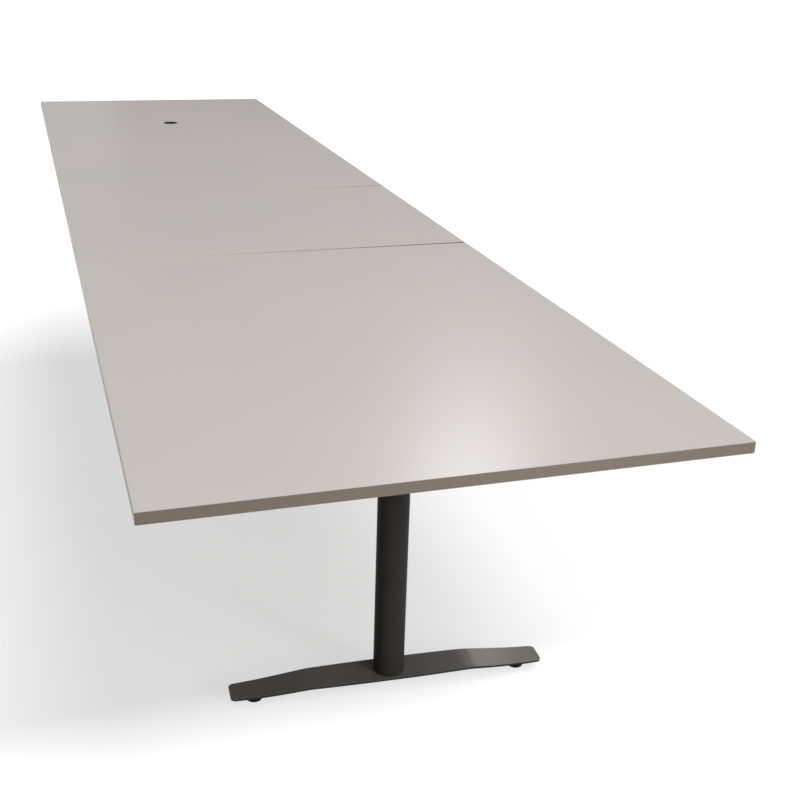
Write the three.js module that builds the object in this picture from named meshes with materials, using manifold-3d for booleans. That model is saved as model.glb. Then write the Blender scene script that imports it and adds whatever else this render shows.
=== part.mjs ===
// Conference table: three laminated tops laid end to end on four T-shaped steel legs.
// Millimetres, +Z up. The origin is on the floor under the middle of the table.
// X runs across the table and Y along it, from the near end at -Y to the far end.
import * as THREE from "three";
import { mergeVertices } from "three/addons/utils/BufferGeometryUtils.js";
import Module from "manifold-3d";

const wasm = await Module();
wasm.setup();

// Tops: particle board with a laminate on both faces and a plastic band round the edges
const tableHeight = 750;
const topWidth = 1200;
const nearTopLength = 1600;
const midTopLength = 900;
const farTopLength = 2500;
const coreThickness = 22.4;
const laminateThickness = 0.8;
const edgeBandThickness = 2;
const glueLine = 0.1;

// Seams: the tops nearly touch on the left and part slightly towards the right
const seamGapLeft = 0.6;
const nearSeamGapRight = 8;
const farSeamGapRight = 4;

// Cable grommet let into the far top
const grommetFromFarEnd = 845;
const grommetHoleDiameter = 52;
const grommetFlangeDiameter = 65;
const grommetFlangeHeight = 2;
const grommetFlangeChamfer = 0.8;
const grommetClearance = 0.3;
const grommetWall = 2.7;
const grommetLedge = 3;
const grommetBelowTop = 2;
const capThickness = 3;
const capClearance = 0.3;
const cableNotchWidth = 14;
const cableNotchDepth = 13;

// Legs: a bent foot plate, a round column and a folded bearer under the tops
const endLegInset = 438;
const columnDiameter = 73;
const columnWall = 2.5;
const columnEndDisc = 10;
const footLength = 756;
const footPlate = 6;
const footMargin = 6.3;
const footTipWidth = 61.5;
const footTipRadius = 12;
const footTopHeight = 35;
const footFoldAt = 196;
const footTipDrop = 11.1;
const nearFootTurn = -3.05;

// Bearer: a hat-shaped sheet steel channel across the table
const bearerFromEdge = 150;
const bearerSheet = 3;
const bearerDepth = 28;
const bearerFlange = 25;
const bearerMargin = 4;

// Levelling glides under the foot tips
const glideFromTip = 57;
const glidePadDiameter = 40;
const glidePadHeight = 9;
const glidePadEdge = 2;
const glideCollarDiameter = 14;
const glideThread = 8;
const glideStudInPlate = 3;
const glideStudTopGap = 1.5;
const glideSeatGap = 0.3;
const weldNutDiameter = 17;
const weldNutHeight = 8;
const weldNutInPlate = 3;

// Bolts that hold the column between foot and bearer
const boltThread = 10;
const boltHeadAcrossCorners = 18.9;
const boltHeadHeight = 6.4;
const boltInDisc = 9;
const holeClearance = 0.3;

// Rails along the table, with their top walls left long as tongues under the bearers
const railFromEdge = 350;
const railWidth = 20;
const railHeight = 40;
const railWall = 3;
const tongueEndGap = 3;
const railEndGap = 1;

// Plates screwed across the seams, outside the bearers
const seamPlateFromEdge = 75;
const seamPlateWidth = 50;
const seamPlateLength = 120;
const seamPlateThickness = 3;
const seamPlateCorner = 6;
const seamPlateScrewInset = 12;

// Holes for the wood screws that hold bearers, rails and plates to the tops
const screwHoleDiameter = 5.4;
const bearerEndScrewInset = 30;

// Facets of the round pieces
const columnSides = 28;
const smallSides = 16;
const holeSides = 10;
const hexagonSides = 6;
const wingSteps = 7;
const footPlanSteps = 5;
const plateCornerSteps = 4;

// How far a cutting tool stands out of what it cuts, and how near two points count as one
const cutReach = 3;
const samePoint = 1e-3;

const tableLength = nearTopLength + midTopLength + farTopLength;
const nearEndY = -tableLength / 2;
const nearSeamY = nearEndY + nearTopLength;
const farSeamY = nearSeamY + midTopLength;
const farEndY = farSeamY + farTopLength;
const topThickness = coreThickness + 2 * laminateThickness;
const undersideZ = tableHeight - topThickness;
const coreZ = undersideZ + laminateThickness;
const faceZ = coreZ + coreThickness;

const laminate = { color: 0xb9b3ad, roughness: 0.42, metalness: 0 };
const backingSheet = { color: 0x9d9890, roughness: 0.6, metalness: 0 };
const edgePlastic = { color: 0x7f7668, roughness: 0.5, metalness: 0 };
const particleBoard = { color: 0xb08d5f, roughness: 0.9, metalness: 0 };
const darkPaint = { color: 0x403d3b, roughness: 0.45, metalness: 0.3 };
const zincSteel = { color: 0xa9abad, roughness: 0.35, metalness: 0.9 };
const blackPlastic = { color: 0x111111, roughness: 0.6, metalness: 0 };

// A closed geometry as a solid for cutting and joining, and back again.
function solidOf(geometry) {
  const bare = geometry.index ? geometry.toNonIndexed() : geometry.clone();
  bare.deleteAttribute("normal");
  bare.deleteAttribute("uv");
  const merged = mergeVertices(bare, samePoint);
  return new wasm.Manifold(
    new wasm.Mesh({
      numProp: 3,
      vertProperties: merged.attributes.position.array,
      triVerts: new Uint32Array(merged.index.array),
    }),
  );
}

function geometryOf(solid) {
  const mesh = solid.getMesh();
  const geometry = new THREE.BufferGeometry();
  geometry.setAttribute("position", new THREE.BufferAttribute(mesh.vertProperties, 3));
  geometry.setIndex(new THREE.BufferAttribute(mesh.triVerts, 1));
  geometry.computeVertexNormals();
  return geometry;
}

function cut(geometry, tools) {
  return geometryOf(tools.reduce((left, tool) => left.subtract(solidOf(tool)), solidOf(geometry)));
}

function join(geometry, others) {
  return geometryOf(others.reduce((sum, other) => sum.add(solidOf(other)), solidOf(geometry)));
}

function overlapOf(geometry, other) {
  return geometryOf(solidOf(geometry).intersect(solidOf(other)));
}

function addPiece(parent, name, geometry, finish) {
  const mesh = new THREE.Mesh(geometry, new THREE.MeshStandardMaterial(finish));
  mesh.name = name;
  parent.add(mesh);
  return mesh;
}

function extruded(shape, depth, curveSegments = holeSides) {
  return new THREE.ExtrudeGeometry(shape, { depth, curveSegments, bevelEnabled: false });
}

// A profile of [radius, height] points turned about Z.
function turned(profile, sides) {
  const points = profile.map(([radius, height]) => new THREE.Vector2(radius, height));
  return new THREE.LatheGeometry(points, sides).rotateX(Math.PI / 2);
}

// A rod along Z, standing on the given height.
function rod(diameter, length, baseZ, sides) {
  const geometry = new THREE.CylinderGeometry(diameter / 2, diameter / 2, length, sides);
  return geometry.rotateX(Math.PI / 2).translate(0, 0, baseZ + length / 2);
}

function roundHole(x, y, diameter, sides) {
  const path = new THREE.Path();
  for (let step = 0; step < sides; step += 1) {
    const angle = (-2 * Math.PI * step) / sides;
    const point = [x + (diameter / 2) * Math.cos(angle), y + (diameter / 2) * Math.sin(angle)];
    if (step === 0) path.moveTo(...point);
    else path.lineTo(...point);
  }
  path.closePath();
  return path;
}

function polygon(points) {
  return new THREE.Shape(points.map(([x, y]) => new THREE.Vector2(x, y)));
}

// The corners of a convex outline, counter-clockwise, moved inwards by a distance.
function inset(corners, distance) {
  const sides = corners.map((start, i) => {
    const end = corners[(i + 1) % corners.length];
    const length = Math.hypot(end[0] - start[0], end[1] - start[1]);
    const along = [(end[0] - start[0]) / length, (end[1] - start[1]) / length];
    const point = [start[0] - along[1] * distance, start[1] + along[0] * distance];
    return { point, along };
  });
  return sides.map((side, i) => {
    const before = sides[(i + sides.length - 1) % sides.length];
    const dx = side.point[0] - before.point[0];
    const dy = side.point[1] - before.point[1];
    const turn = before.along[0] * side.along[1] - before.along[1] * side.along[0];
    const reach = (dx * side.along[1] - dy * side.along[0]) / turn;
    return [before.point[0] + before.along[0] * reach, before.point[1] + before.along[1] * reach];
  });
}

const table = new THREE.Group();

// Tops

const grommetY = farEndY - grommetFromFarEnd;
const freeNearEnd = { y: nearEndY, left: 0, right: 0 };
const freeFarEnd = { y: farEndY, left: 0, right: 0 };
const nearSeam = { y: nearSeamY, left: seamGapLeft, right: nearSeamGapRight };
const farSeam = { y: farSeamY, left: seamGapLeft, right: farSeamGapRight };

function addTop(name, nearEnd, farEnd, holes) {
  const corners = [
    [-topWidth / 2, nearEnd.y + nearEnd.left / 2],
    [topWidth / 2, nearEnd.y + nearEnd.right / 2],
    [topWidth / 2, farEnd.y - farEnd.right / 2],
    [-topWidth / 2, farEnd.y - farEnd.left / 2],
  ];
  const band = polygon(corners);
  band.holes.push(polygon(inset(corners, edgeBandThickness).reverse()));
  addPiece(table, `${name}_top_edge_band`, extruded(band, topThickness), edgePlastic)
    .position.set(0, 0, undersideZ);

  const board = polygon(inset(corners, edgeBandThickness + glueLine));
  board.holes.push(...holes);
  const layers = [
    ["backing", undersideZ, laminateThickness, backingSheet],
    ["core", coreZ, coreThickness, particleBoard],
    ["face", faceZ, laminateThickness, laminate],
  ];
  for (const [layer, bottom, thickness, finish] of layers)
    addPiece(table, `${name}_top_${layer}`, extruded(board, thickness), finish)
      .position.set(0, 0, bottom);
}

addTop("near", freeNearEnd, nearSeam, []);
addTop("mid", nearSeam, farSeam, []);
addTop("far", farSeam, freeFarEnd, [roundHole(0, grommetY, grommetHoleDiameter, columnSides)]);

// Cable grommet: a flanged sleeve through the far top, and a cap that turns in it

const sleeveRadius = grommetHoleDiameter / 2 - grommetClearance;
const capSeatRadius = sleeveRadius - grommetWall;
const sleeveBore = capSeatRadius - grommetLedge;
const capSeatZ = grommetFlangeHeight - capThickness - capClearance;
const flangeRadius = grommetFlangeDiameter / 2;
const capRadius = capSeatRadius - capClearance;

const grommet = new THREE.Group();
grommet.position.set(0, grommetY, tableHeight);
table.add(grommet);

const sleeveProfile = [
  [sleeveBore, -topThickness - grommetBelowTop],
  [sleeveRadius, -topThickness - grommetBelowTop],
  [sleeveRadius, 0],
  [flangeRadius, 0],
  [flangeRadius, grommetFlangeHeight - grommetFlangeChamfer],
  [flangeRadius - grommetFlangeChamfer, grommetFlangeHeight],
  [capSeatRadius, grommetFlangeHeight],
  [capSeatRadius, capSeatZ],
  [sleeveBore, capSeatZ],
  [sleeveBore, -topThickness - grommetBelowTop],
];
addPiece(grommet, "grommet_sleeve", turned(sleeveProfile, columnSides), blackPlastic);

// The cap's rim runs round from one side of the cable notch to the other.
const notchHalf = cableNotchWidth / 2;
const notchAngle = Math.asin(notchHalf / capRadius);
const notchFloor = capRadius - cableNotchDepth;
const capShape = new THREE.Shape();
capShape.absarc(0, 0, capRadius, Math.PI / 2 + notchAngle, 2.5 * Math.PI - notchAngle, false);
capShape.lineTo(notchHalf, notchFloor + notchHalf);
capShape.absarc(0, notchFloor + notchHalf, notchHalf, 2 * Math.PI, Math.PI, true);
capShape.closePath();
addPiece(grommet, "grommet_cap", extruded(capShape, capThickness, columnSides), blackPlastic)
  .position.set(0, 0, capSeatZ + capClearance);

// Legs

const bearerLength = topWidth - 2 * bearerFromEdge;
const bearerHatHalf = columnDiameter / 2 + bearerMargin;
const bearerHalf = bearerHatHalf + bearerFlange;
const bearerBottomZ = undersideZ - bearerDepth;
const flangeBottomZ = undersideZ - bearerSheet;
const flangeScrewY = bearerHatHalf + bearerFlange / 2;
const endScrewX = bearerLength / 2 - bearerEndScrewInset;
const railX = topWidth / 2 - railFromEdge;
const columnLength = bearerBottomZ - footTopHeight;
const boltHoleRadius = boltThread / 2 + holeClearance;
const glideX = footLength / 2 - glideFromTip;

// The foot is level about the column, then falls to its tips on a quarter of a sine wave.
function footTop(x) {
  const share = (Math.abs(x) - footFoldAt) / (footLength / 2 - footFoldAt);
  return footTopHeight - footTipDrop * Math.sin((Math.PI / 2) * Math.max(share, 0));
}

const footUnderGlide = footTop(glideX) - footPlate;
const weldNutBottom = footUnderGlide - weldNutHeight;
const glideCollarTop = weldNutBottom - glideSeatGap;
const glideStudTop = footUnderGlide + glideStudInPlate;

function footSideView() {
  const stations = [];
  for (let step = 0; step <= wingSteps; step += 1)
    stations.push(footFoldAt + ((footLength / 2 - footFoldAt) * step) / wingSteps);
  const across = [...stations.map((x) => -x).reverse(), ...stations];
  const under = across.map((x) => [x, footTop(x) - footPlate]);
  const over = across.map((x) => [x, footTop(x)]).reverse();
  return polygon([...under, ...over]);
}

// Seen from above, the foot narrows in a slight curve from the column to round-cornered tips.
function footPlan() {
  const tip = footLength / 2;
  const half = columnDiameter / 2 + footMargin;
  const tipHalf = footTipWidth / 2;
  const cornerX = tip - footTipRadius;
  const cornerY = tipHalf - footTipRadius;
  const plan = new THREE.Shape();
  plan.moveTo(tip, -cornerY);
  plan.lineTo(tip, cornerY);
  plan.absarc(cornerX, cornerY, footTipRadius, 0, Math.PI / 2, false);
  plan.quadraticCurveTo(tip / 2, half, 0, half);
  plan.quadraticCurveTo(-tip / 2, half, -cornerX, tipHalf);
  plan.absarc(-cornerX, cornerY, footTipRadius, Math.PI / 2, Math.PI, false);
  plan.lineTo(-tip, -cornerY);
  plan.absarc(-cornerX, -cornerY, footTipRadius, Math.PI, 1.5 * Math.PI, false);
  plan.quadraticCurveTo(-tip / 2, -half, 0, -half);
  plan.quadraticCurveTo(tip / 2, -half, cornerX, -tipHalf);
  plan.absarc(cornerX, -cornerY, footTipRadius, 1.5 * Math.PI, 2 * Math.PI, false);
  return plan;
}

function footGeometry() {
  const widest = columnDiameter + 2 * footMargin + footTipWidth;
  const sheet = extruded(footSideView(), widest).rotateX(Math.PI / 2).translate(0, widest / 2, 0);
  const outline = extruded(footPlan(), footTopHeight + cutReach, footPlanSteps);
  const plate = overlapOf(sheet, outline);
  const nut = rod(weldNutDiameter, weldNutHeight + weldNutInPlate, weldNutBottom, hexagonSides);
  const nuts = [-glideX, glideX].map((x) => nut.clone().translate(x, 0, 0));
  const threadDiameter = glideThread + 2 * holeClearance;
  const threadDepth = glideStudTop + glideStudTopGap - weldNutBottom + glideSeatGap;
  const thread = rod(threadDiameter, threadDepth, weldNutBottom - glideSeatGap, holeSides);
  const threads = [-glideX, glideX].map((x) => thread.clone().translate(x, 0, 0));
  const boltHoleBottom = footTopHeight - footPlate - cutReach;
  const boltHole = rod(2 * boltHoleRadius, footPlate + 2 * cutReach, boltHoleBottom, smallSides);
  return cut(join(plate, nuts), [...threads, boltHole]);
}

// A tube with a tapped disc welded into each end.
function columnGeometry() {
  const outer = columnDiameter / 2;
  const inner = outer - columnWall;
  const profile = [
    [boltHoleRadius, 0],
    [outer, 0],
    [outer, columnLength],
    [boltHoleRadius, columnLength],
    [boltHoleRadius, columnLength - columnEndDisc],
    [inner, columnLength - columnEndDisc],
    [inner, columnEndDisc],
    [boltHoleRadius, columnEndDisc],
    [boltHoleRadius, 0],
  ];
  return turned(profile, columnSides);
}

function glideGeometry() {
  const pad = glidePadDiameter / 2;
  const collar = glideCollarDiameter / 2;
  const stud = glideThread / 2;
  const profile = [
    [0, 0],
    [pad - glidePadEdge, 0],
    [pad, glidePadEdge],
    [pad, glidePadHeight],
    [collar, glidePadHeight],
    [collar, glideCollarTop],
    [stud, glideCollarTop],
    [stud, glideStudTop],
    [0, glideStudTop],
  ];
  return turned(profile, smallSides);
}

// A hexagon-headed bolt, head down, with its seat at height zero.
function boltGeometry(shankLength) {
  const head = rod(boltHeadAcrossCorners, boltHeadHeight, -boltHeadHeight, hexagonSides);
  const overlap = boltHeadHeight / 2;
  return join(head, [rod(boltThread, shankLength + overlap, -overlap, smallSides)]);
}

// Places an outline drawn in Y and Z, drawn out along X about the middle.
function acrossTable(shape, length) {
  const along = new THREE.Vector3(1, 0, 0);
  const basis = new THREE.Matrix4().makeBasis(new THREE.Vector3(0, 1, 0), new THREE.Vector3(0, 0, 1), along);
  return extruded(shape, length).applyMatrix4(basis).translate(-length / 2, 0, 0);
}

const bearerScrews = [-endScrewX, -railX, railX, endScrewX].flatMap((x) =>
  [-flangeScrewY, flangeScrewY].map((y) => [x, y]),
);

function bearerGeometry() {
  const hat = polygon([
    [-bearerHalf, 0],
    [-bearerHalf, -bearerSheet],
    [-bearerHatHalf, -bearerSheet],
    [-bearerHatHalf, -bearerDepth],
    [bearerHatHalf, -bearerDepth],
    [bearerHatHalf, -bearerSheet],
    [bearerHalf, -bearerSheet],
    [bearerHalf, 0],
    [bearerHatHalf - bearerSheet, 0],
    [bearerHatHalf - bearerSheet, bearerSheet - bearerDepth],
    [bearerSheet - bearerHatHalf, bearerSheet - bearerDepth],
    [bearerSheet - bearerHatHalf, 0],
  ]);
  const toolLength = bearerSheet + 2 * cutReach;
  const screwHole = rod(screwHoleDiameter, toolLength, -bearerSheet - cutReach, holeSides);
  const holes = bearerScrews.map(([x, y]) => screwHole.clone().translate(x, y, 0));
  holes.push(rod(2 * boltHoleRadius, toolLength, -bearerDepth - cutReach, smallSides));
  return cut(acrossTable(hat, bearerLength), holes);
}

function addLeg(name, y, turnDegrees) {
  const leg = new THREE.Group();
  leg.position.set(0, y, 0);
  table.add(leg);
  const stand = new THREE.Group();
  stand.rotation.z = THREE.MathUtils.degToRad(turnDegrees);
  leg.add(stand);

  addPiece(stand, `${name}_foot`, footGeometry(), darkPaint);
  addPiece(stand, `${name}_column`, columnGeometry(), darkPaint).position.z = footTopHeight;
  addPiece(stand, `${name}_foot_bolt`, boltGeometry(footPlate + boltInDisc), zincSteel)
    .position.z = footTopHeight - footPlate;
  addPiece(stand, `${name}_left_glide`, glideGeometry(), blackPlastic).position.x = -glideX;
  addPiece(stand, `${name}_right_glide`, glideGeometry(), blackPlastic).position.x = glideX;

  addPiece(leg, `${name}_bearer`, bearerGeometry(), darkPaint).position.z = undersideZ;
  const bearerBolt = addPiece(leg, `${name}_bearer_bolt`, boltGeometry(bearerSheet + boltInDisc), zincSteel);
  bearerBolt.rotation.x = Math.PI;
  bearerBolt.position.z = bearerBottomZ + bearerSheet;
}

const nearLegY = nearEndY + endLegInset;
const farLegY = farEndY - endLegInset;
addLeg("near", nearLegY, nearFootTurn);
addLeg("near_seam", nearSeamY, 0);
addLeg("far_seam", farSeamY, 0);
addLeg("far", farLegY, 0);

// Rails: rectangular tubes between the bearers, held by tongues under their flanges

function railGeometry(tubeLength) {
  const tongueReach = bearerFlange + railEndGap - tongueEndGap;
  const across = (width, height) => [
    [-width / 2, -height / 2],
    [width / 2, -height / 2],
    [width / 2, height / 2],
    [-width / 2, height / 2],
  ];
  const section = polygon(across(railWidth, railHeight));
  section.holes.push(polygon(across(railWidth - 2 * railWall, railHeight - 2 * railWall).reverse()));
  const tube = extruded(section, tubeLength).rotateX(Math.PI / 2);
  tube.translate(0, tubeLength / 2, -railHeight / 2);
  const tongues = new THREE.BoxGeometry(railWidth, tubeLength + 2 * tongueReach, railWall);
  tongues.translate(0, 0, -railWall / 2);
  const screwY = tubeLength / 2 + railEndGap + bearerFlange / 2;
  const screwHole = rod(screwHoleDiameter, railWall + 2 * cutReach, -railWall - cutReach, holeSides);
  const holes = [-screwY, screwY].map((y) => screwHole.clone().translate(0, y, 0));
  return cut(join(tube, [tongues]), holes);
}

function addRails(name, fromLegY, toLegY) {
  const tubeLength = toLegY - fromLegY - 2 * (bearerHalf + railEndGap);
  for (const [side, x] of [["left", -railX], ["right", railX]])
    addPiece(table, `${name}_${side}_rail`, railGeometry(tubeLength), darkPaint)
      .position.set(x, (fromLegY + toLegY) / 2, flangeBottomZ);
}

addRails("near", nearLegY, nearSeamY);
addRails("mid", nearSeamY, farSeamY);
addRails("far", farSeamY, farLegY);

// Seam plates: flat steel screwed to the tops on both sides of a seam

function seamPlateGeometry() {
  const x = seamPlateWidth / 2;
  const y = seamPlateLength / 2;
  const r = seamPlateCorner;
  const plate = new THREE.Shape();
  plate.absarc(x - r, y - r, r, 0, Math.PI / 2, false);
  plate.absarc(r - x, y - r, r, Math.PI / 2, Math.PI, false);
  plate.absarc(r - x, r - y, r, Math.PI, 1.5 * Math.PI, false);
  plate.absarc(x - r, r - y, r, 1.5 * Math.PI, 2 * Math.PI, false);
  const screwX = x - seamPlateScrewInset;
  const screwY = y - seamPlateScrewInset;
  for (const holeX of [-screwX, screwX])
    for (const holeY of [-screwY, screwY])
      plate.holes.push(roundHole(holeX, holeY, screwHoleDiameter, holeSides));
  return extruded(plate, seamPlateThickness, plateCornerSteps);
}

const seamPlateX = topWidth / 2 - seamPlateFromEdge;
for (const [seam, y] of [["near", nearSeamY], ["far", farSeamY]])
  for (const [side, x] of [["left", -seamPlateX], ["right", seamPlateX]])
    addPiece(table, `${seam}_seam_${side}_plate`, seamPlateGeometry(), zincSteel)
      .position.set(x, y, undersideZ - seamPlateThickness);

export default table;
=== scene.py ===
import math

import bmesh
import bpy
from mathutils import Matrix, Vector


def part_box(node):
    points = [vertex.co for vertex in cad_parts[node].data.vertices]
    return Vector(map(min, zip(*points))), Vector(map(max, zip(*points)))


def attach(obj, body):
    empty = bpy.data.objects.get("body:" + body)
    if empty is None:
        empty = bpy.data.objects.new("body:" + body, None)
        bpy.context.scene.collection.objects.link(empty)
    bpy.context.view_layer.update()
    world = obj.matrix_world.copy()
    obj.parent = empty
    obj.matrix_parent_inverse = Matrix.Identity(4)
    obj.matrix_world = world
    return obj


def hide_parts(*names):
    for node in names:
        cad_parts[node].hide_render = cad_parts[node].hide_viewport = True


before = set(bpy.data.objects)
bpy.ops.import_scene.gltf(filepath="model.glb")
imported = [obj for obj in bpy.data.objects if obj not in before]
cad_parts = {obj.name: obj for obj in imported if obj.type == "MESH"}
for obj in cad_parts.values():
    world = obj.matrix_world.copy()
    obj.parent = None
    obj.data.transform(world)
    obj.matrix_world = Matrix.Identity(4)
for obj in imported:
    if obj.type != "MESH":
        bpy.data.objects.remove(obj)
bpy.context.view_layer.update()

# Levelling glides
# A black moulded pad on a zinc plated stud, one under each foot tip. The stud screws into a nut
# welded under the foot plate, so that each foot can be set level on the floor.
LEGS = ("near", "near_seam", "far_seam", "far")
SIDES = ("left", "right")
MM = 0.001
SHARP_ANGLE = math.radians(32)
FLAT_ANGLE = math.radians(8)
FLAT_RATIO = 20.0
TOUCHING = 0.002 * MM
GLIDE_SPIN_STEPS = 48
PAD_RADIUS = 20 * MM
PAD_SOLE_RADIUS = 19 * MM
PAD_HEIGHT = 9 * MM
PAD_EDGE = 1.2 * MM
PAD_FLARE = 3 * MM
PAD_RIM = 1.5 * MM
COLLAR_RADIUS = 7 * MM
STUD_RADIUS = 4 * MM
THREAD_DEPTH = 0.55 * MM
THREAD_PITCH = 1.25 * MM
SEAT_GAP = 0.3 * MM
ARC_STEPS = 5
PLASTIC_INDEX = 1.2


def start_finish(name, metallic=0.0):
    """A new material with its shader and the object coordinates that its patterns read."""
    finish = bpy.data.materials.new(name)
    finish.use_nodes = True
    tree = finish.node_tree
    shader = tree.nodes["Principled BSDF"]
    shader.inputs["Metallic"].default_value = metallic
    place = tree.nodes.new("ShaderNodeTexCoord").outputs["Object"]
    return finish, tree, shader, place


def grain(tree, place, scale, detail, stretch=(1.0, 1.0, 1.0)):
    """Noise of so many lumps to the metre, drawn out by a stretch along each axis."""
    mapping = tree.nodes.new("ShaderNodeMapping")
    mapping.inputs["Scale"].default_value = stretch
    tree.links.new(place, mapping.inputs["Vector"])
    noise = tree.nodes.new("ShaderNodeTexNoise")
    noise.inputs["Scale"].default_value = scale
    noise.inputs["Detail"].default_value = detail
    tree.links.new(mapping.outputs["Vector"], noise.inputs["Vector"])
    return noise.outputs["Fac"]


def shade(tree, factor, dark, light, low=0.3, high=0.7):
    """A colour that goes from dark to light as the factor goes from low to high."""
    ramp = tree.nodes.new("ShaderNodeValToRGB")
    ramp.color_ramp.elements[0].position = low
    ramp.color_ramp.elements[0].color = (*dark, 1.0)
    ramp.color_ramp.elements[1].position = high
    ramp.color_ramp.elements[1].color = (*light, 1.0)
    tree.links.new(factor, ramp.inputs["Fac"])
    return ramp.outputs["Color"]


def mix_colours(tree, factor, first, second):
    """Two colours mixed by a factor, which is a socket or a number."""
    mix = tree.nodes.new("ShaderNodeMix")
    mix.data_type = "RGBA"
    if isinstance(factor, float):
        mix.inputs["Factor"].default_value = factor
    else:
        tree.links.new(factor, mix.inputs["Factor"])
    tree.links.new(first, mix.inputs["A"])
    tree.links.new(second, mix.inputs["B"])
    return mix.outputs["Result"]


def spread(tree, factor, low, high):
    """The factor, which runs from 0 to 1, as a number from low to high."""
    span = tree.nodes.new("ShaderNodeMapRange")
    span.inputs["To Min"].default_value = low
    span.inputs["To Max"].default_value = high
    tree.links.new(factor, span.inputs["Value"])
    return span.outputs["Result"]


def dress(tree, shader, colour, roughness):
    """Joins a colour and a roughness to a shader."""
    tree.links.new(colour, shader.inputs["Base Color"])
    tree.links.new(roughness, shader.inputs["Roughness"])


def roughen(tree, shader, height, strength, depth):
    """Bumps the surface by a height pattern of that depth in metres."""
    bump = tree.nodes.new("ShaderNodeBump")
    bump.inputs["Strength"].default_value = strength
    bump.inputs["Distance"].default_value = depth
    tree.links.new(height, bump.inputs["Height"])
    tree.links.new(bump.outputs["Normal"], shader.inputs["Normal"])


def black_plastic_finish():
    """Moulded nylon: nearly black, with a fine spark-eroded grain and dusty lights."""
    finish, tree, shader, place = start_finish("black_plastic")
    shader.inputs["IOR"].default_value = PLASTIC_INDEX
    fine = grain(tree, place, scale=2600.0, detail=3.0)
    dust = grain(tree, place, scale=55.0, detail=4.0)
    colour = shade(tree, dust, dark=(0.002, 0.002, 0.0021), light=(0.0045, 0.0044, 0.0043))
    dress(tree, shader, colour, spread(tree, dust, low=0.42, high=0.6))
    roughen(tree, shader, fine, strength=0.25, depth=0.15 * MM)
    return finish


def zinc_finish():
    """Bright zinc plate: blue-white steel, clouded, with a breath of yellow."""
    finish, tree, shader, place = start_finish("zinc_plate", metallic=1.0)
    cloud = grain(tree, place, scale=90.0, detail=4.0)
    fine = grain(tree, place, scale=1400.0, detail=2.0)
    blue = shade(tree, cloud, dark=(0.46, 0.48, 0.5), light=(0.66, 0.67, 0.68))
    yellow = shade(tree, fine, dark=(0.5, 0.49, 0.43), light=(0.62, 0.61, 0.55))
    colour = mix_colours(tree, factor=0.3, first=blue, second=yellow)
    dress(tree, shader, colour, spread(tree, cloud, low=0.26, high=0.46))
    roughen(tree, shader, fine, strength=0.12, depth=0.05 * MM)
    return finish


def middle(node):
    """The middle of a CAD node's box."""
    low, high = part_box(node)
    return (low + high) / 2


def turn_profile(bm, profile, steps):
    """Spins a chain of (radius, height) points once round the Z axis."""
    points = [bm.verts.new((radius, 0.0, height)) for radius, height in profile]
    chain = [bm.edges.new(pair) for pair in zip(points, points[1:])]
    bmesh.ops.spin(
        bm, geom=points + chain, cent=(0, 0, 0), axis=(0, 0, 1),
        angle=2 * math.pi, steps=steps, use_merge=True,
    )
    bmesh.ops.remove_doubles(bm, verts=bm.verts, dist=TOUCHING)
    bmesh.ops.recalc_face_normals(bm, faces=bm.faces)


def arc(centre, radius, start, end):
    """Points of a round corner in a profile, with its angles in degrees."""
    points = []
    for step in range(ARC_STEPS + 1):
        angle = math.radians(start + (end - start) * step / ARC_STEPS)
        points.append((centre[0] + radius * math.cos(angle), centre[1] + radius * math.sin(angle)))
    return points


def is_soft(edge):
    """Whether shading runs on over an edge: not over a hard corner, nor from a wide face into a round."""
    turn = edge.calc_face_angle(0.0)
    if turn < FLAT_ANGLE:
        return True
    areas = sorted(face.calc_area() for face in edge.link_faces)
    return turn < SHARP_ANGLE and areas[-1] < FLAT_RATIO * areas[0]


def set_piece(name, bm, finishes, body, slot, *nodes):
    """Makes a mesh an object that rides on a body, and stands for CAD nodes where they are named."""
    for edge in bm.edges:
        edge.smooth = is_soft(edge)
    for face in bm.faces:
        face.smooth = True
    mesh = bpy.data.meshes.new(name)
    bm.to_mesh(mesh)
    bm.free()
    piece = bpy.data.objects.new(name, mesh)
    bpy.context.scene.collection.objects.link(piece)
    for finish in finishes:
        mesh.materials.append(finish)
    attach(piece, body)
    if nodes:
        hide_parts(*nodes)


def glide_profile(collar_top, stud_top):
    """Pad, collar and threaded stud from the sole up, as (radius, height) points."""
    points = [(0.0, 0.0)]
    points += arc((PAD_SOLE_RADIUS - PAD_EDGE / 2, PAD_EDGE / 2), PAD_EDGE / 2, -90, -20)
    points.append((PAD_RADIUS, PAD_FLARE))
    points += arc((PAD_RADIUS - PAD_RIM, PAD_HEIGHT - PAD_RIM), PAD_RIM, 0, 90)
    points += [(COLLAR_RADIUS, PAD_HEIGHT), (COLLAR_RADIUS, collar_top), (STUD_RADIUS, collar_top)]
    height = collar_top
    while height + THREAD_PITCH < stud_top:
        points.append((STUD_RADIUS - THREAD_DEPTH, height + THREAD_PITCH / 2))
        points.append((STUD_RADIUS, height + THREAD_PITCH))
        height += THREAD_PITCH
    points += [(STUD_RADIUS - THREAD_DEPTH, stud_top), (0.0, stud_top)]
    return points


black_plastic = black_plastic_finish()
zinc_plate = zinc_finish()
straight_low, straight_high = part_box("far_foot")
weld_nut_bottom = straight_low.z
collar_top = weld_nut_bottom - SEAT_GAP

for leg in LEGS:
    for side in SIDES:
        glide = f"{leg}_{side}_glide"
        stud_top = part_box(glide)[1].z
        bm = bmesh.new()
        turn_profile(bm, glide_profile(collar_top, stud_top), GLIDE_SPIN_STEPS)
        for face in bm.faces:
            face.material_index = int(face.calc_center_median().z > collar_top)
        centre = middle(glide)
        bmesh.ops.translate(bm, verts=bm.verts, vec=(centre.x, centre.y, 0.0))
        set_piece(f"{glide}_moulding", bm, (black_plastic, zinc_plate), glide, "black_plastic", glide)

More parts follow.
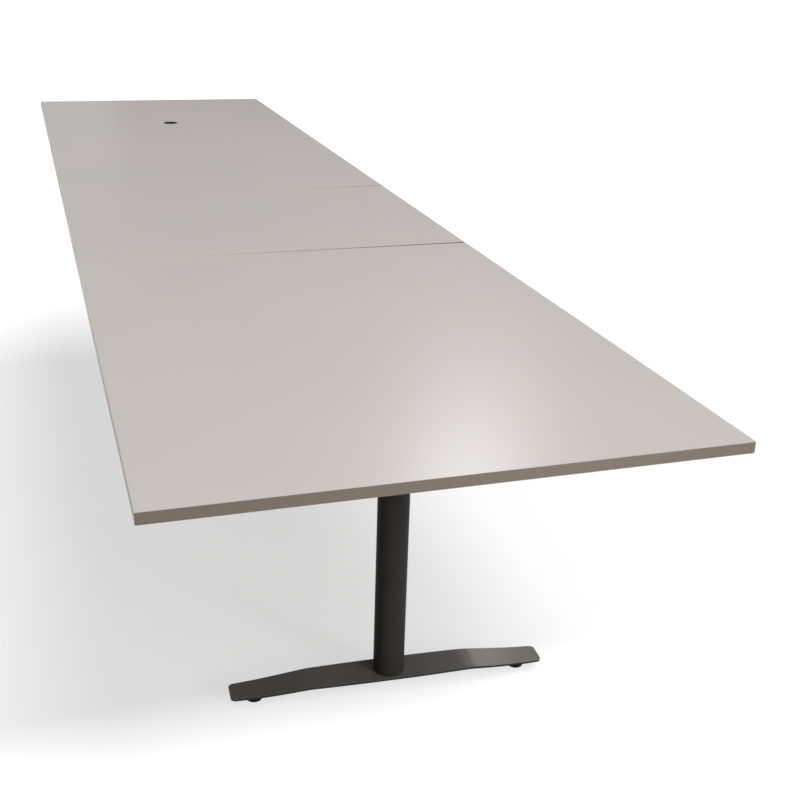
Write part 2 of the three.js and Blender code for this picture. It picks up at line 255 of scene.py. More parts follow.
# Foot plates
# A flat steel bar, level under the column and folded down to both tips, with its outline cut
# narrower towards round-cornered tips. Two nuts are welded under it, and it is powder coated dark
# grey. Its edges and underside take a much darker copy of the coat, as painted shade.
FOOT_PLATE = 6 * MM
FOOT_TIP_WIDTH = 61.5 * MM
FOOT_TIP_RADIUS = 12 * MM
FOOT_FOLD_AT = 196 * MM
FOOT_FOLD_REACH = 14 * MM
FOOT_FOLD_SHARES = (-1.0, -0.6, -0.2, 0.2, 0.6, 1.0)
FOOT_TIP_DROP = 11.1 * MM
FOOT_EDGE_ROUND = 0.8 * MM
FOOT_STATIONS = 60
LEVEL_LEAN = 0.5
WELD_NUT_SIDES = 6
WELD_NUT_RADIUS = 8.5 * MM
WELD_NUT_HEIGHT = 11 * MM
WELD_NUT_CHAMFER = 0.8 * MM
DUSTED_TONE = 1.23
FOOT_DULL = (0.128, 0.1225, 0.1185)
FOOT_FRESH = (0.163, 0.156, 0.1505)
FOOT_INDEX = 1.36
FOOT_ROUGH = 0.18
# Painted shade: a much darker, duller copy of the foot's coat for its edges and underside.
FOOT_SIDE_SHADE_DULL = (0.03, 0.0285, 0.0275)
FOOT_SIDE_SHADE_FRESH = (0.038, 0.0362, 0.035)
FOOT_SIDE_SHADE_INDEX = 1.2


def scaled(colour, tone):
    """A colour made darker or lighter by a factor."""
    return tuple(part * tone for part in colour)


def powder_coat_finish(name, dull, fresh, index, rough):
    """Dark brown-grey powder coat with a fine orange peel, a little duller where it gathers dust."""
    finish, tree, shader, place = start_finish(name)
    shader.inputs["IOR"].default_value = index
    peel = grain(tree, place, scale=950.0, detail=2.0)
    cloud = grain(tree, place, scale=14.0, detail=5.0)
    fleck = grain(tree, place, scale=3200.0, detail=1.0)
    base = shade(tree, cloud, dark=dull, light=fresh)
    dusted = shade(tree, fleck, dark=dull, light=scaled(fresh, DUSTED_TONE), low=0.35, high=0.75)
    colour = mix_colours(tree, factor=0.4, first=base, second=dusted)
    dress(tree, shader, colour, spread(tree, cloud, low=0.95 * rough, high=1.05 * rough))
    roughen(tree, shader, peel, strength=0.12, depth=0.12 * MM)
    return finish


def hard_edges(bm, least=40):
    """The edges that turn by more than so many degrees."""
    return [edge for edge in bm.edges if edge.is_manifold and edge.calc_face_angle() > math.radians(least)]


def round_over(bm, edges, radius, segments):
    """Rounds edges to a radius."""
    bmesh.ops.bevel(
        bm, geom=edges, offset=radius, offset_type="OFFSET", segments=segments, profile=0.5,
        affect="EDGES", material=-1, clamp_overlap=True, miter_outer="ARC",
    )


def cut_across(bm, x):
    """Cuts the faces of a mesh where they cross a place along the X axis."""
    geom = list(bm.verts) + list(bm.edges) + list(bm.faces)
    bmesh.ops.bisect_plane(bm, geom=geom, plane_co=(x, 0, 0), plane_no=(1, 0, 0))


def foot_drop(x, tip):
    """How far the plate has fallen along the foot: a soft fold, then a quarter of a sine wave."""
    past = abs(x) - FOOT_FOLD_AT
    if abs(past) < FOOT_FOLD_REACH:
        past = (past + FOOT_FOLD_REACH) ** 2 / (4 * FOOT_FOLD_REACH)
    share = max(past, 0.0) / (tip - FOOT_FOLD_AT)
    return FOOT_TIP_DROP * math.sin(min(share, 1.0) * math.pi / 2)


def foot_half_width(x, tip, half):
    """Half the plate's width at a distance along the foot, on a curve that starts square to the column."""
    share = min(abs(x) / (tip - FOOT_TIP_RADIUS), 1.0)
    return half + (FOOT_TIP_WIDTH / 2 - half) * share ** 2


def foot_plate(length, width, top):
    """The bent plate about its column's axis, with its weld nuts to be added."""
    bm = bmesh.new()
    bmesh.ops.create_cube(bm, size=1.0, matrix=Matrix.Diagonal((length, width, FOOT_PLATE, 1.0)))
    bmesh.ops.translate(bm, verts=bm.verts, vec=(0, 0, -FOOT_PLATE / 2))
    long_edges = [e for e in bm.edges if abs(e.verts[0].co.x - e.verts[1].co.x) > length / 2]
    bmesh.ops.subdivide_edges(bm, edges=long_edges, cuts=FOOT_STATIONS, use_grid_fill=True)
    for fold in (-FOOT_FOLD_AT, FOOT_FOLD_AT):
        for share in FOOT_FOLD_SHARES:
            cut_across(bm, fold + share * FOOT_FOLD_REACH)
    for vert in bm.verts:
        vert.co.y *= foot_half_width(vert.co.x, length / 2, width / 2) / (width / 2)
    tips = [e for e in bm.edges if all(abs(v.co.x) > length / 2 - TOUCHING for v in e.verts)]
    corners = [e for e in tips if abs(e.verts[0].co.z - e.verts[1].co.z) > FOOT_PLATE / 2]
    round_over(bm, corners, FOOT_TIP_RADIUS, segments=8)
    round_over(bm, hard_edges(bm, least=60), FOOT_EDGE_ROUND, segments=3)
    for vert in bm.verts:
        vert.co.z += top - foot_drop(vert.co.x, length / 2)
    return bm


def add_weld_nut(bm, x):
    """A hexagon nut with chamfered corners under the plate."""
    centre = weld_nut_bottom + WELD_NUT_HEIGHT / 2
    made = bmesh.ops.create_cone(
        bm, cap_ends=True, segments=WELD_NUT_SIDES, radius1=WELD_NUT_RADIUS, radius2=WELD_NUT_RADIUS,
        depth=WELD_NUT_HEIGHT, matrix=Matrix.Translation((x, 0, centre)),
    )
    rim = {e for v in made["verts"] for e in v.link_edges}
    under = [e for e in rim if all(v.co.z < centre for v in e.verts)]
    round_over(bm, under, WELD_NUT_CHAMFER, segments=2)


def leg_turn(leg):
    """The angle that a leg's foot is turned by, from the line between its glides."""
    along = middle(f"{leg}_right_glide") - middle(f"{leg}_left_glide")
    return math.atan2(along.y, along.x)


foot_coat = powder_coat_finish("foot_coat", FOOT_DULL, FOOT_FRESH, FOOT_INDEX, FOOT_ROUGH)
foot_side_painted_shade_coat = powder_coat_finish(
    "foot_side_painted_shade_coat", FOOT_SIDE_SHADE_DULL, FOOT_SIDE_SHADE_FRESH, FOOT_SIDE_SHADE_INDEX, FOOT_ROUGH
)
foot_size = straight_high - straight_low

for leg in LEGS:
    bm = foot_plate(foot_size.x, foot_size.y, straight_high.z)
    glide_reach = (middle(f"{leg}_right_glide") - middle(f"{leg}_left_glide")).length / 2
    for x in (-glide_reach, glide_reach):
        add_weld_nut(bm, x)
    axis = middle(f"{leg}_column")
    turn = Matrix.Translation((axis.x, axis.y, 0)) @ Matrix.Rotation(leg_turn(leg), 4, "Z")
    bmesh.ops.transform(bm, matrix=turn, verts=bm.verts)
    # Faces that lean away from level, the edges and underside, take the painted shade coat.
    for face in bm.faces:
        face.material_index = int(face.normal.z < LEVEL_LEAN)
    set_piece(f"{leg}_foot_plate", bm, (foot_coat, foot_side_painted_shade_coat), "table", "dark_paint", f"{leg}_foot")

# Columns
# A round steel tube between foot and bearer, with its ends turned square and lightly broken.
# Its powder coat is darker and duller than the foot's.
COLUMN_SPIN_STEPS = 96
COLUMN_EDGE = 0.6 * MM
COLUMN_DULL = (0.033, 0.0305, 0.0287)
COLUMN_FRESH = (0.042, 0.0389, 0.0364)
COLUMN_INDEX = 1.08
COLUMN_ROUGH = 0.4

column_coat = powder_coat_finish("column_coat", COLUMN_DULL, COLUMN_FRESH, COLUMN_INDEX, COLUMN_ROUGH)
far_low, far_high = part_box("far_column")
column_radius = (far_high.x - far_low.x) / 2

for leg in LEGS:
    low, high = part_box(f"{leg}_column")
    tube = [
        (0.0, low.z),
        (column_radius - COLUMN_EDGE, low.z),
        (column_radius, low.z + COLUMN_EDGE),
        (column_radius, high.z - COLUMN_EDGE),
        (column_radius - COLUMN_EDGE, high.z),
        (0.0, high.z),
    ]
    bm = bmesh.new()
    turn_profile(bm, tube, COLUMN_SPIN_STEPS)
    axis = middle(f"{leg}_column")
    bmesh.ops.translate(bm, verts=bm.verts, vec=(axis.x, axis.y, 0))
    set_piece(f"{leg}_column_tube", bm, (column_coat,), "table", "dark_paint", f"{leg}_column")

# Leg bolts
# Zinc plated hexagon bolts: one comes up through each foot into its column, and one goes down
# through each bearer. Their heads keep the broken corners that forging leaves.
BOLT_EDGE = 0.5 * MM
MERGING = 0.01 * MM
FLUSH_ANGLE = math.radians(1)


def merged(node):
    """A copy of a CAD node's mesh, with its loose triangles merged into whole faces."""
    bm = bmesh.new()
    bm.from_mesh(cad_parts[node].data)
    bmesh.ops.remove_doubles(bm, verts=bm.verts, dist=MERGING)
    bmesh.ops.dissolve_limit(bm, angle_limit=FLUSH_ANGLE, verts=bm.verts, edges=bm.edges)
    return bm


def softened(node, radius, segments, least=40):
    """A merged copy of a CAD node's mesh with its hard edges rounded."""
    bm = merged(node)
    round_over(bm, hard_edges(bm, least), radius, segments)
    return bm


for leg in LEGS:
    for end in ("foot", "bearer"):
        bolt = f"{leg}_{end}_bolt"
        bm = softened(bolt, BOLT_EDGE, segments=2)
        set_piece(f"{bolt}_forging", bm, (zinc_plate,), "table", "zinc_steel", bolt)

# Bearers
# A hat-shaped channel folded from 3 mm sheet steel lies across under the tops on each column.
# Its two flanges are screwed up into the boards, and it is powder coated with the columns.
BEARER_SHEET = 3 * MM
BEARER_FLANGE = 25 * MM
BEARER_BEND = 5 * MM
BEARER_EDGE = 0.4 * MM


def draw_out(bm, edges, way):
    """Draws edges out into walls along a vector, and gives the edges where two walls meet."""
    drawn = bmesh.ops.extrude_edge_only(bm, edges=edges)["geom"]
    moved = [item for item in drawn if isinstance(item, bmesh.types.BMVert)]
    bmesh.ops.translate(bm, verts=moved, vec=way)
    return [edge for edge in bm.edges if len(edge.link_faces) == 2]


for leg in LEGS:
    low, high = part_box(f"{leg}_bearer")
    axis = middle(f"{leg}_bearer")
    half = (high.y - low.y) / 2
    hat = half - BEARER_FLANGE
    flange_z = high.z - BEARER_SHEET
    section = [
        (-half, flange_z), (-hat, flange_z), (-hat, low.z),
        (hat, low.z), (hat, flange_z), (half, flange_z),
    ]
    bm = bmesh.new()
    points = [bm.verts.new((low.x, axis.y + y, z)) for y, z in section]
    chain = [bm.edges.new(pair) for pair in zip(points, points[1:])]
    bends = draw_out(bm, chain, (high.x - low.x, 0, 0))
    round_over(bm, bends, BEARER_BEND, segments=5)
    bmesh.ops.recalc_face_normals(bm, faces=bm.faces)
    if sum(face.normal.z * face.calc_area() for face in bm.faces) > 0:
        bmesh.ops.reverse_faces(bm, faces=bm.faces)
    bmesh.ops.solidify(bm, geom=bm.faces, thickness=BEARER_SHEET)
    round_over(bm, hard_edges(bm, least=60), BEARER_EDGE, segments=2)
    set_piece(f"{leg}_bearer_channel", bm, (column_coat,), "table", "dark_paint", f"{leg}_bearer")

# Rails
# Rectangular steel tubes run along the table between the bearers and keep the legs square.
# The top wall of each is left long at both ends as a tongue under the bearer's flange.
RAIL_WALL = 3 * MM
RAIL_CORNER = 3 * MM
RAIL_EDGE = 0.4 * MM
TONGUE_REACH = 23 * MM
TONGUE_LAP = 1 * MM
BAYS = {"near": ("near", "near_seam"), "mid": ("near_seam", "far_seam"), "far": ("far_seam", "far")}

for bay in BAYS:
    for side in SIDES:
        rail = f"{bay}_{side}_rail"
        low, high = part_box(rail)
        start, end = low.y + TONGUE_REACH, high.y - TONGUE_REACH
        bm = bmesh.new()
        corners = [(low.x, low.z), (high.x, low.z), (high.x, high.z), (low.x, high.z)]
        points = [bm.verts.new((x, start, z)) for x, z in corners]
        loop = [bm.edges.new((points[i], points[i - 1])) for i in range(len(points))]
        long_edges = draw_out(bm, loop, (0, end - start, 0))
        round_over(bm, long_edges, RAIL_CORNER, segments=4)
        bmesh.ops.recalc_face_normals(bm, faces=bm.faces)
        centre = middle(rail)
        wall = max(bm.faces, key=lambda face: face.calc_area())
        if wall.normal.dot(wall.calc_center_median() - centre) < 0:
            bmesh.ops.reverse_faces(bm, faces=bm.faces)
        bmesh.ops.solidify(bm, geom=bm.faces, thickness=RAIL_WALL)
        for tongue_start, tongue_end in ((low.y, start + TONGUE_LAP), (end - TONGUE_LAP, high.y)):
            size = (high.x - low.x, tongue_end - tongue_start, RAIL_WALL, 1.0)
            place = (centre.x, (tongue_start + tongue_end) / 2, high.z - RAIL_WALL / 2)
            seat = Matrix.Translation(place) @ Matrix.Diagonal(size)
            made = bmesh.ops.create_cube(bm, size=1.0, matrix=seat)
            rim = list({e for v in made["verts"] for e in v.link_edges})
            round_over(bm, rim, RAIL_EDGE, segments=2)
        set_piece(f"{rail}_tube", bm, (column_coat,), "table", "dark_paint", rail)

# Table tops
# Three boards of particle board, each with a pale warm grey laminate above, a plain backing sheet
# below, and a taupe plastic band glued round its edges and rounded over with a cutter.
SEAM_WAYS = {
    "near": {1: "near_seam"},
    "mid": {-1: "near_seam", 1: "far_seam"},
    "far": {-1: "far_seam"},
}
BAND_CORNER = 2.5 * MM
BAND_CORNER_REACH = 0.5 * MM
BAND_ARRIS = 1.0 * MM
BAND_PALE_TOP_DEPTH = 0.8 * MM
BAND_DARK = (0.25, 0.2, 0.15)
BAND_LIGHT = (0.283, 0.227, 0.17)
SEAM_ARRIS = 0.1 * MM
SEAM_GAP = 0.1 * MM
SEAM_OPENS_AT = {"near_seam": -0.276, "far_seam": 0.12}
SEAM_FACING = 0.9
# The walls that face a seam are painted darker, as shade, towards the open end of the gap.
SEAM_SHADE_TONE = 0.15
SEAM_SHADE_FROM = -0.15
SEAM_SHADE_TO = 0.55


def laminate_finish():
    """Pale warm grey laminate with a fine pearl texture, faint clouds and wiped-on dullness."""
    finish, tree, shader, place = start_finish("pale_laminate")
    pearl = grain(tree, place, scale=1500.0, detail=2.0)
    speck = grain(tree, place, scale=420.0, detail=3.0)
    cloud = grain(tree, place, scale=1.6, detail=3.0)
    wipe = grain(tree, place, scale=5.0, detail=3.0, stretch=(3.0, 0.5, 1.0))
    base = shade(tree, cloud, dark=(0.485, 0.456, 0.435), light=(0.515, 0.478, 0.457))
    specks = shade(tree, speck, dark=(0.462, 0.434, 0.414), light=(0.53, 0.495, 0.474))
    colour = mix_colours(tree, factor=0.3, first=base, second=specks)
    dress(tree, shader, colour, spread(tree, wipe, low=0.271, high=0.287))
    roughen(tree, shader, pearl, strength=0.02, depth=0.02 * MM)
    return finish


def backing_finish():
    """Plain backing sheet: grey-beige paper under resin, with sanding marks along the board."""
    finish, tree, shader, place = start_finish("backing_sheet")
    fibre = grain(tree, place, scale=160.0, detail=4.0, stretch=(1.0, 0.15, 1.0))
    blotch = grain(tree, place, scale=6.0, detail=3.0)
    base = shade(tree, blotch, dark=(0.34, 0.32, 0.29), light=(0.4, 0.375, 0.34))
    fibres = shade(tree, fibre, dark=(0.31, 0.29, 0.262), light=(0.42, 0.395, 0.36))
    colour = mix_colours(tree, factor=0.4, first=base, second=fibres)
    dress(tree, shader, colour, spread(tree, fibre, low=0.5, high=0.7))
    roughen(tree, shader, fibre, strength=0.15, depth=0.1 * MM)
    return finish


def particle_board_finish():
    """Pressed wood chips in straw and brown, coarse in the middle of the board."""
    finish, tree, shader, place = start_finish("particle_board")
    chips = tree.nodes.new("ShaderNodeTexVoronoi")
    chips.inputs["Scale"].default_value = 260.0
    tree.links.new(place, chips.inputs["Vector"])
    chip = tree.nodes.new("ShaderNodeSeparateColor")
    tree.links.new(chips.outputs["Color"], chip.inputs["Color"])
    fine = grain(tree, place, scale=900.0, detail=3.0)
    one_chip = chip.outputs["Red"]
    straw = shade(tree, one_chip, dark=(0.26, 0.155, 0.07), light=(0.58, 0.39, 0.19), low=0.0, high=1.0)
    dust = shade(tree, fine, dark=(0.3, 0.19, 0.09), light=(0.5, 0.33, 0.16))
    colour = mix_colours(tree, factor=0.4, first=straw, second=dust)
    dress(tree, shader, colour, spread(tree, fine, low=0.8, high=0.95))
    roughen(tree, shader, fine, strength=0.5, depth=0.3 * MM)
    return finish


def climb(tree, value, low, high):
    """A number from 0 to 1 as a value goes from low to high."""
    span = tree.nodes.new("ShaderNodeMapRange")
    span.inputs["From Min"].default_value = low
    span.inputs["From Max"].default_value = high
    tree.links.new(value, span.inputs["Value"])
    return span.outputs["Result"]


def edge_band_finish(name, top, seam):
    """Satin taupe band with milling lines; its top is pale like the laminate and partly a painted
    highlight.
    """
    finish, tree, shader, place = start_finish(name)
    fine = grain(tree, place, scale=1100.0, detail=2.0)
    streak = grain(tree, place, scale=30.0, detail=3.0, stretch=(1.0, 1.0, 40.0))
    laminate_pale = shade(tree, fine, dark=(0.45, 0.42, 0.395), light=(0.51, 0.475, 0.447))
    split = tree.nodes.new("ShaderNodeSeparateXYZ")
    tree.links.new(place, split.inputs["Vector"])
    if seam:
        # Painted shade: the walls that face a seam darken from the shut end towards the open end of the
        # gap.
        seam_shade = shade(tree, streak, dark=scaled(BAND_DARK, SEAM_SHADE_TONE), light=scaled(BAND_LIGHT, SEAM_SHADE_TONE))
        seam_shade_share = climb(tree, split.outputs["X"], SEAM_SHADE_FROM, SEAM_SHADE_TO)
        body = mix_colours(tree, factor=seam_shade_share, first=laminate_pale, second=seam_shade)
    else:
        body = shade(tree, streak, dark=BAND_DARK, light=BAND_LIGHT)
    # The band's top turns pale like the laminate, which also serves as a painted highlight along its top
    # arris.
    pale_top_and_highlight = climb(tree, split.outputs["Z"], top - BAND_PALE_TOP_DEPTH, top)
    colour = mix_colours(tree, factor=pale_top_and_highlight, first=body, second=laminate_pale)
    dress(tree, shader, colour, spread(tree, streak, low=0.293, high=0.32))
    roughen(tree, shader, fine, strength=0.08, depth=0.08 * MM)
    return finish


def refinish(node, finish):
    """Gives a CAD node that stays in sight its own finish."""
    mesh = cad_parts[node].data
    mesh.materials.clear()
    mesh.materials.append(finish)


def is_outer(face, centre):
    """Whether a wall of a band faces away from its top."""
    return abs(face.normal.z) < LEVEL_LEAN and face.normal.dot(face.calc_center_median() - centre) > 0


def at_seam(face, ways):
    """Whether a face looks along the table towards a seam."""
    return any(face.normal.y * way > SEAM_FACING for way in ways)


def outer_rims(bm, centre):
    """The level edges round the outside of a band, each with its outer wall."""
    rims = []
    for edge in hard_edges(bm, least=60):
        if abs(edge.verts[0].co.z - edge.verts[1].co.z) < TOUCHING:
            rims += [(edge, face) for face in edge.link_faces if is_outer(face, centre)]
    return rims


def close_seam(bm, centre, way, seam):
    """Bends an end wall of a band, so that its seam stays shut up to a point and opens from there."""
    opens_at = SEAM_OPENS_AT[seam]
    cut_across(bm, opens_at)
    walls = [face for face in bm.faces if is_outer(face, centre) and at_seam(face, (way,))]
    verts = {vert for face in walls for vert in face.verts}
    line = middle(f"{seam}_column").y
    open_end = max(verts, key=lambda vert: vert.co.x).co.copy()
    for vert in verts:
        share = max(vert.co.x - opens_at, 0.0) / (open_end.x - opens_at)
        half_gap = SEAM_GAP / 2 + (abs(open_end.y - line) - SEAM_GAP / 2) * share
        vert.co.y = line - way * half_gap


pale_laminate = laminate_finish()
backing_sheet = backing_finish()
particle_board = particle_board_finish()
top_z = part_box("near_top_face")[1].z
taupe_band = edge_band_finish("taupe_edge_band", top_z, False)
seam_wall_shade_band = edge_band_finish("seam_wall_painted_shade", top_z, True)

for top, ways in SEAM_WAYS.items():
    refinish(f"{top}_top_face", pale_laminate)
    refinish(f"{top}_top_backing", backing_sheet)
    refinish(f"{top}_top_core", particle_board)
    band = f"{top}_top_edge_band"
    centre = middle(band)
    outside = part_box(band)[1].x - BAND_CORNER_REACH
    bm = merged(band)
    for way, seam in ways.items():
        close_seam(bm, centre, way, seam)
    outer = [e for e in hard_edges(bm) if all(abs(v.co.x) > outside for v in e.verts)]
    upright = [e for e in outer if abs(e.verts[0].co.z - e.verts[1].co.z) > BAND_CORNER]
    round_over(bm, upright, BAND_CORNER, segments=6)
    free_rims = [edge for edge, wall in outer_rims(bm, centre) if not at_seam(wall, ways)]
    round_over(bm, free_rims, BAND_ARRIS, segments=3)
    seam_rims = [edge for edge, wall in outer_rims(bm, centre) if at_seam(wall, ways)]
    round_over(bm, seam_rims, SEAM_ARRIS, segments=2)
    for face in bm.faces:
        # Walls that face a seam take the band with painted shade.
        face.material_index = int(is_outer(face, centre) and at_seam(face, ways))
    set_piece(f"{top}_top_banding", bm, (taupe_band, seam_wall_shade_band), "table", "edge_band", band)

# Seam plates
# Flat zinc plated steel plates lie across both seams under the tops, outside the bearers.
# They are punched with round corners and four screw holes.
SEAMS = ("near_seam", "far_seam")

for seam in SEAMS:
    for side in SIDES:
        refinish(f"{seam}_{side}_plate", zinc_plate)

# Wood screws
# Zinc plated pan-head screws go up into the boards through the bearers' flanges, the rails' tongues
# and the seam plates. Each head has a round driver socket.
SCREW_HEAD_RADIUS = 4.6 * MM
SCREW_HEAD_HEIGHT = 2.6 * MM
SCREW_SOCKET_RADIUS = 2.0 * MM
SCREW_SOCKET_DEPTH = 1.5 * MM
SCREW_HEAD_ROUND = 1.2 * MM
SCREW_SIDES = 16
BEARER_END_SCREW_INSET = 30 * MM
PLATE_SCREW_INSET = 12 * MM


def add_screw_head(bm, x, y, seat_z):
    """One screw head that hangs below its seat."""
    made = bmesh.ops.create_cone(
        bm, cap_ends=True, segments=SCREW_SIDES, radius1=SCREW_HEAD_RADIUS, radius2=SCREW_HEAD_RADIUS,
        depth=SCREW_HEAD_HEIGHT, matrix=Matrix.Translation((x, y, seat_z - SCREW_HEAD_HEIGHT / 2)),
    )
    faces = {face for vert in made["verts"] for face in vert.link_faces}
    under = min(faces, key=lambda face: face.calc_center_median().z)
    rim = list(under.edges)
    bmesh.ops.inset_region(bm, faces=[under], thickness=SCREW_HEAD_RADIUS - SCREW_SOCKET_RADIUS)
    socket = bmesh.ops.extrude_discrete_faces(bm, faces=[under])["faces"]
    bmesh.ops.translate(bm, verts=socket[0].verts, vec=(0, 0, SCREW_SOCKET_DEPTH))
    round_over(bm, rim, SCREW_HEAD_ROUND, segments=3)


rail_x = middle("near_right_rail").x

for leg in LEGS:
    low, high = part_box(f"{leg}_bearer")
    axis = middle(f"{leg}_bearer")
    seat_y = (high.y - low.y) / 2 - BEARER_FLANGE / 2
    end_x = high.x - BEARER_END_SCREW_INSET
    bm = bmesh.new()
    for way in (-1, 1):
        has_rail = any(leg == BAYS[bay][0 if way > 0 else 1] for bay in BAYS)
        for x in (-end_x, -rail_x, rail_x, end_x):
            under_rail = has_rail and abs(x) == rail_x
            seat_z = high.z - BEARER_SHEET - (RAIL_WALL if under_rail else 0.0)
            add_screw_head(bm, x, axis.y + way * seat_y, seat_z)
    set_piece(f"{leg}_bearer_screws", bm, (zinc_plate,), "table", "zinc_steel")

for seam in SEAMS:
    bm = bmesh.new()
    for side in SIDES:
        low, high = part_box(f"{seam}_{side}_plate")
        for x in (low.x + PLATE_SCREW_INSET, high.x - PLATE_SCREW_INSET):
            for y in (low.y + PLATE_SCREW_INSET, high.y - PLATE_SCREW_INSET):
                add_screw_head(bm, x, y, low.z)
    set_piece(f"{seam}_plate_screws", bm, (zinc_plate,), "table", "zinc_steel")

# Cable grommet
# A black moulded sleeve with a low flange is pressed into a hole in the far top. A cap with a
# notch for cables drops into it and turns to close round them.
GROMMET_SPIN_STEPS = 64
FLANGE_ROUND = 1.2 * MM
GROMMET_CHAMFER = 0.3 * MM
SLEEVE_RADIUS = 25.7 * MM
CAP_SEAT_RADIUS = 23 * MM
SLEEVE_BORE = 20 * MM
CAP_EDGE = 0.35 * MM

sleeve_low, sleeve_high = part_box("grommet_sleeve")
cap_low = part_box("grommet_cap")[0]
flange_radius = (sleeve_high.x - sleeve_low.x) / 2
seat_z = cap_low.z - SEAT_GAP
sleeve = [
    (SLEEVE_BORE, sleeve_low.z),
    (SLEEVE_RADIUS - GROMMET_CHAMFER, sleeve_low.z),
    (SLEEVE_RADIUS, sleeve_low.z + GROMMET_CHAMFER),
    (SLEEVE_RADIUS, top_z),
    (flange_radius, top_z),
    *arc((flange_radius - FLANGE_ROUND, sleeve_high.z - FLANGE_ROUND), FLANGE_ROUND, 0, 90),
    (CAP_SEAT_RADIUS + GROMMET_CHAMFER, sleeve_high.z),
    (CAP_SEAT_RADIUS, sleeve_high.z - GROMMET_CHAMFER),
    (CAP_SEAT_RADIUS, seat_z),
    (SLEEVE_BORE, seat_z),
    (SLEEVE_BORE, sleeve_low.z),
]
bm = bmesh.new()
turn_profile(bm, sleeve, GROMMET_SPIN_STEPS)
centre = (sleeve_low + sleeve_high) / 2
bmesh.ops.translate(bm, verts=bm.verts, vec=(centre.x, centre.y, 0))
set_piece("grommet_sleeve_moulding", bm, (black_plastic,), "table", "black_plastic", "grommet_sleeve")

bm = softened("grommet_cap", CAP_EDGE, segments=2, least=60)
set_piece("grommet_cap_moulding", bm, (black_plastic,), "grommet_cap", "black_plastic", "grommet_cap")

# Studio
# A white floor takes the table's shadow under a broad soft sun from the right and a pale sky. A panel
# beyond the far right corner glows in the near top, a narrow spot lights the right wing of the near
# foot, and weaker lamps stand in front of the leg and low behind the far end.
FLOOR_HALF = 120.0
FLOOR_GREY = (0.49, 0.49, 0.49)
FLOOR_ROUGH = 0.9
FLOOR_WHITE_SHARE = 0.313
FLOOR_FADED_SHARE = 0.53
FLOOR_NEAR_FADE = (-2.0, -2.25)
FLOOR_FAR_FADE = (0.35, 1.25)
FLOOR_GLOW = 1.88


def combine(tree, operation, first, second):
    """Two numbers put together by an operation."""
    node = tree.nodes.new("ShaderNodeMath")
    node.operation = operation
    tree.links.new(first, node.inputs[0])
    tree.links.new(second, node.inputs[1])
    return node.outputs["Value"]


def larger(tree, first, second):
    """The larger of two numbers."""
    return combine(tree, "MAXIMUM", first, second)


def product(tree, first, second):
    """Two numbers multiplied."""
    return combine(tree, "MULTIPLY", first, second)


def floor_finish():
    """White floor that takes the shadow softly, and glows whiter towards the front and far end as painted
    light.
    """
    finish, tree, shader, place = start_finish("white_floor")
    shader.inputs["Base Color"].default_value = (*FLOOR_GREY, 1.0)
    shader.inputs["Roughness"].default_value = FLOOR_ROUGH
    glow = tree.nodes.new("ShaderNodeEmission")
    glow.inputs["Strength"].default_value = FLOOR_GLOW
    path = tree.nodes.new("ShaderNodeLightPath")
    mirrored = larger(tree, path.outputs["Is Glossy Ray"], path.outputs["Is Transmission Ray"])
    seen = larger(tree, path.outputs["Is Camera Ray"], mirrored)
    split = tree.nodes.new("ShaderNodeSeparateXYZ")
    tree.links.new(place, split.inputs["Vector"])
    # Painted light: for camera and mirror rays the floor glows whiter towards the front and the far end,
    # washing out the shadow there.
    near_fade = climb(tree, split.outputs["Y"], *FLOOR_NEAR_FADE)
    far_fade = climb(tree, split.outputs["Y"], *FLOOR_FAR_FADE)
    fade = larger(tree, near_fade, far_fade)
    white_share = product(tree, seen, spread(tree, fade, FLOOR_WHITE_SHARE, FLOOR_FADED_SHARE))
    mix = tree.nodes.new("ShaderNodeMixShader")
    tree.links.new(white_share, mix.inputs["Fac"])
    tree.links.new(shader.outputs["BSDF"], mix.inputs[1])
    tree.links.new(glow.outputs["Emission"], mix.inputs[2])
    tree.links.new(mix.outputs["Shader"], tree.nodes["Material Output"].inputs["Surface"])
    return finish


bm = bmesh.new()
bmesh.ops.create_grid(bm, x_segments=1, y_segments=1, size=FLOOR_HALF)
floor_mesh = bpy.data.meshes.new("floor")
bm.to_mesh(floor_mesh)
bm.free()
floor_mesh.materials.append(floor_finish())
floor = bpy.data.objects.new("floor", floor_mesh)
bpy.context.scene.collection.objects.link(floor)

SKY_HORIZON = (0.03, 0.03, 0.03)
SKY_ZENITH = (0.5, 0.5, 0.5)
SKY_WHITE = (1.0, 1.0, 1.0)
SKY_FAR_FADE = (0.5, 0.1)
world = bpy.data.worlds.new("pale_sky")
bpy.context.scene.world = world
world.use_nodes = True
sky = world.node_tree
direction = sky.nodes.new("ShaderNodeTexCoord").outputs["Generated"]
split = sky.nodes.new("ShaderNodeSeparateXYZ")
sky.links.new(direction, split.inputs["Vector"])
dim_sky = shade(sky, split.outputs["Z"], dark=SKY_HORIZON, light=SKY_ZENITH, low=0.0, high=1.0)
white_sky = sky.nodes.new("ShaderNodeRGB").outputs["Color"]
white_sky.default_value = (*SKY_WHITE, 1.0)
path = sky.nodes.new("ShaderNodeLightPath")
mirrored = larger(sky, path.outputs["Is Glossy Ray"], path.outputs["Is Transmission Ray"])
away_from_far_end = climb(sky, split.outputs["Y"], *SKY_FAR_FADE)
seen = larger(sky, path.outputs["Is Camera Ray"], product(sky, mirrored, away_from_far_end))
sky_colour = mix_colours(sky, factor=seen, first=dim_sky, second=white_sky)
sky.links.new(sky_colour, sky.nodes["Background"].inputs["Color"])


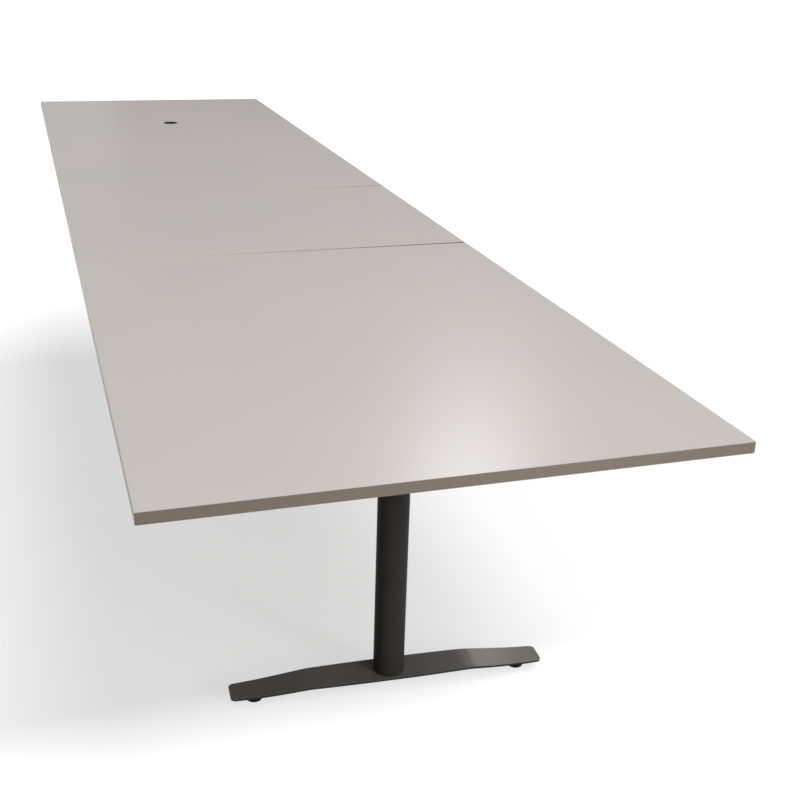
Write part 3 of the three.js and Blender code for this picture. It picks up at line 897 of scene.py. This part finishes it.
def add_lamp(name, kind, place, target, power, **traits):
    """A lamp at a place that faces a target and is not seen itself, with traits such as its size."""
    data = bpy.data.lights.new(name, kind)
    data.energy = power
    for trait, value in traits.items():
        setattr(data, trait, value)
    lamp = bpy.data.objects.new(name, data)
    lamp.location = place
    lamp.rotation_euler = (Vector(target) - Vector(place)).to_track_quat("-Z", "Y").to_euler()
    lamp.visible_camera = False
    bpy.context.scene.collection.objects.link(lamp)


add_lamp(
    "key", "SUN", place=(2.05, 0.55, 5.0), target=(0.0, 0.0, 0.0), power=2.73,
    angle=math.radians(42),
)
add_lamp(
    "panel", "AREA", place=(1.81, 1.865, 3.745), target=(0.05, -2.4, 0.75), power=8.4,
    shape="RECTANGLE", size=0.62, size_y=1.5, spread=math.radians(120),
)
add_lamp(
    "spot", "SPOT", place=(2.81, 2.37, 2.9), target=(0.2, -2.07, 0.03), power=10.5,
    spot_size=math.radians(5), spot_blend=1.0, shadow_soft_size=0.16,
)
add_lamp(
    "kicker", "AREA", place=(1.1, -3.9, 0.62), target=(-0.2, -2.06, 0.12), power=1.1,
    size=0.5, spread=math.radians(36),
)
add_lamp("far_panel", "AREA", place=(-0.6, 6.4, 1.35), target=(-0.5, 2.0, 0.75), power=1.3, size=1.4)
add_lamp("fill", "AREA", place=(1.6, -4.4, 2.6), target=(0.0, -2.1, 0.5), power=16.0, size=2.5)

# Camera
# It stands at the near left of the table at eye height and looks down along it, as the photograph does.
CAMERA_PLACE = (-0.726, -4.238, 1.6511)
CAMERA_YAW = -18.074
CAMERA_PITCH = -22.045
CAMERA_ROLL = -1.71
CAMERA_RAISE = 90
CAMERA_LENS = 51.645
CAMERA_SHIFT_X = 0.0125
CAMERA_REACH = 500.0

camera_data = bpy.data.cameras.new("camera")
camera_data.lens = CAMERA_LENS
camera_data.shift_x = CAMERA_SHIFT_X
camera_data.clip_end = CAMERA_REACH
camera = bpy.data.objects.new("camera", camera_data)
bpy.context.scene.collection.objects.link(camera)
camera.matrix_world = (
    Matrix.Translation(CAMERA_PLACE)
    @ Matrix.Rotation(math.radians(CAMERA_YAW), 4, "Z")
    @ Matrix.Rotation(math.radians(CAMERA_PITCH), 4, "X")
    @ Matrix.Rotation(math.radians(CAMERA_ROLL), 4, "Y")
    @ Matrix.Rotation(math.radians(CAMERA_RAISE), 4, "X")
)
bpy.context.scene.camera = camera
bpy.context.scene.view_settings.view_transform = "Standard"
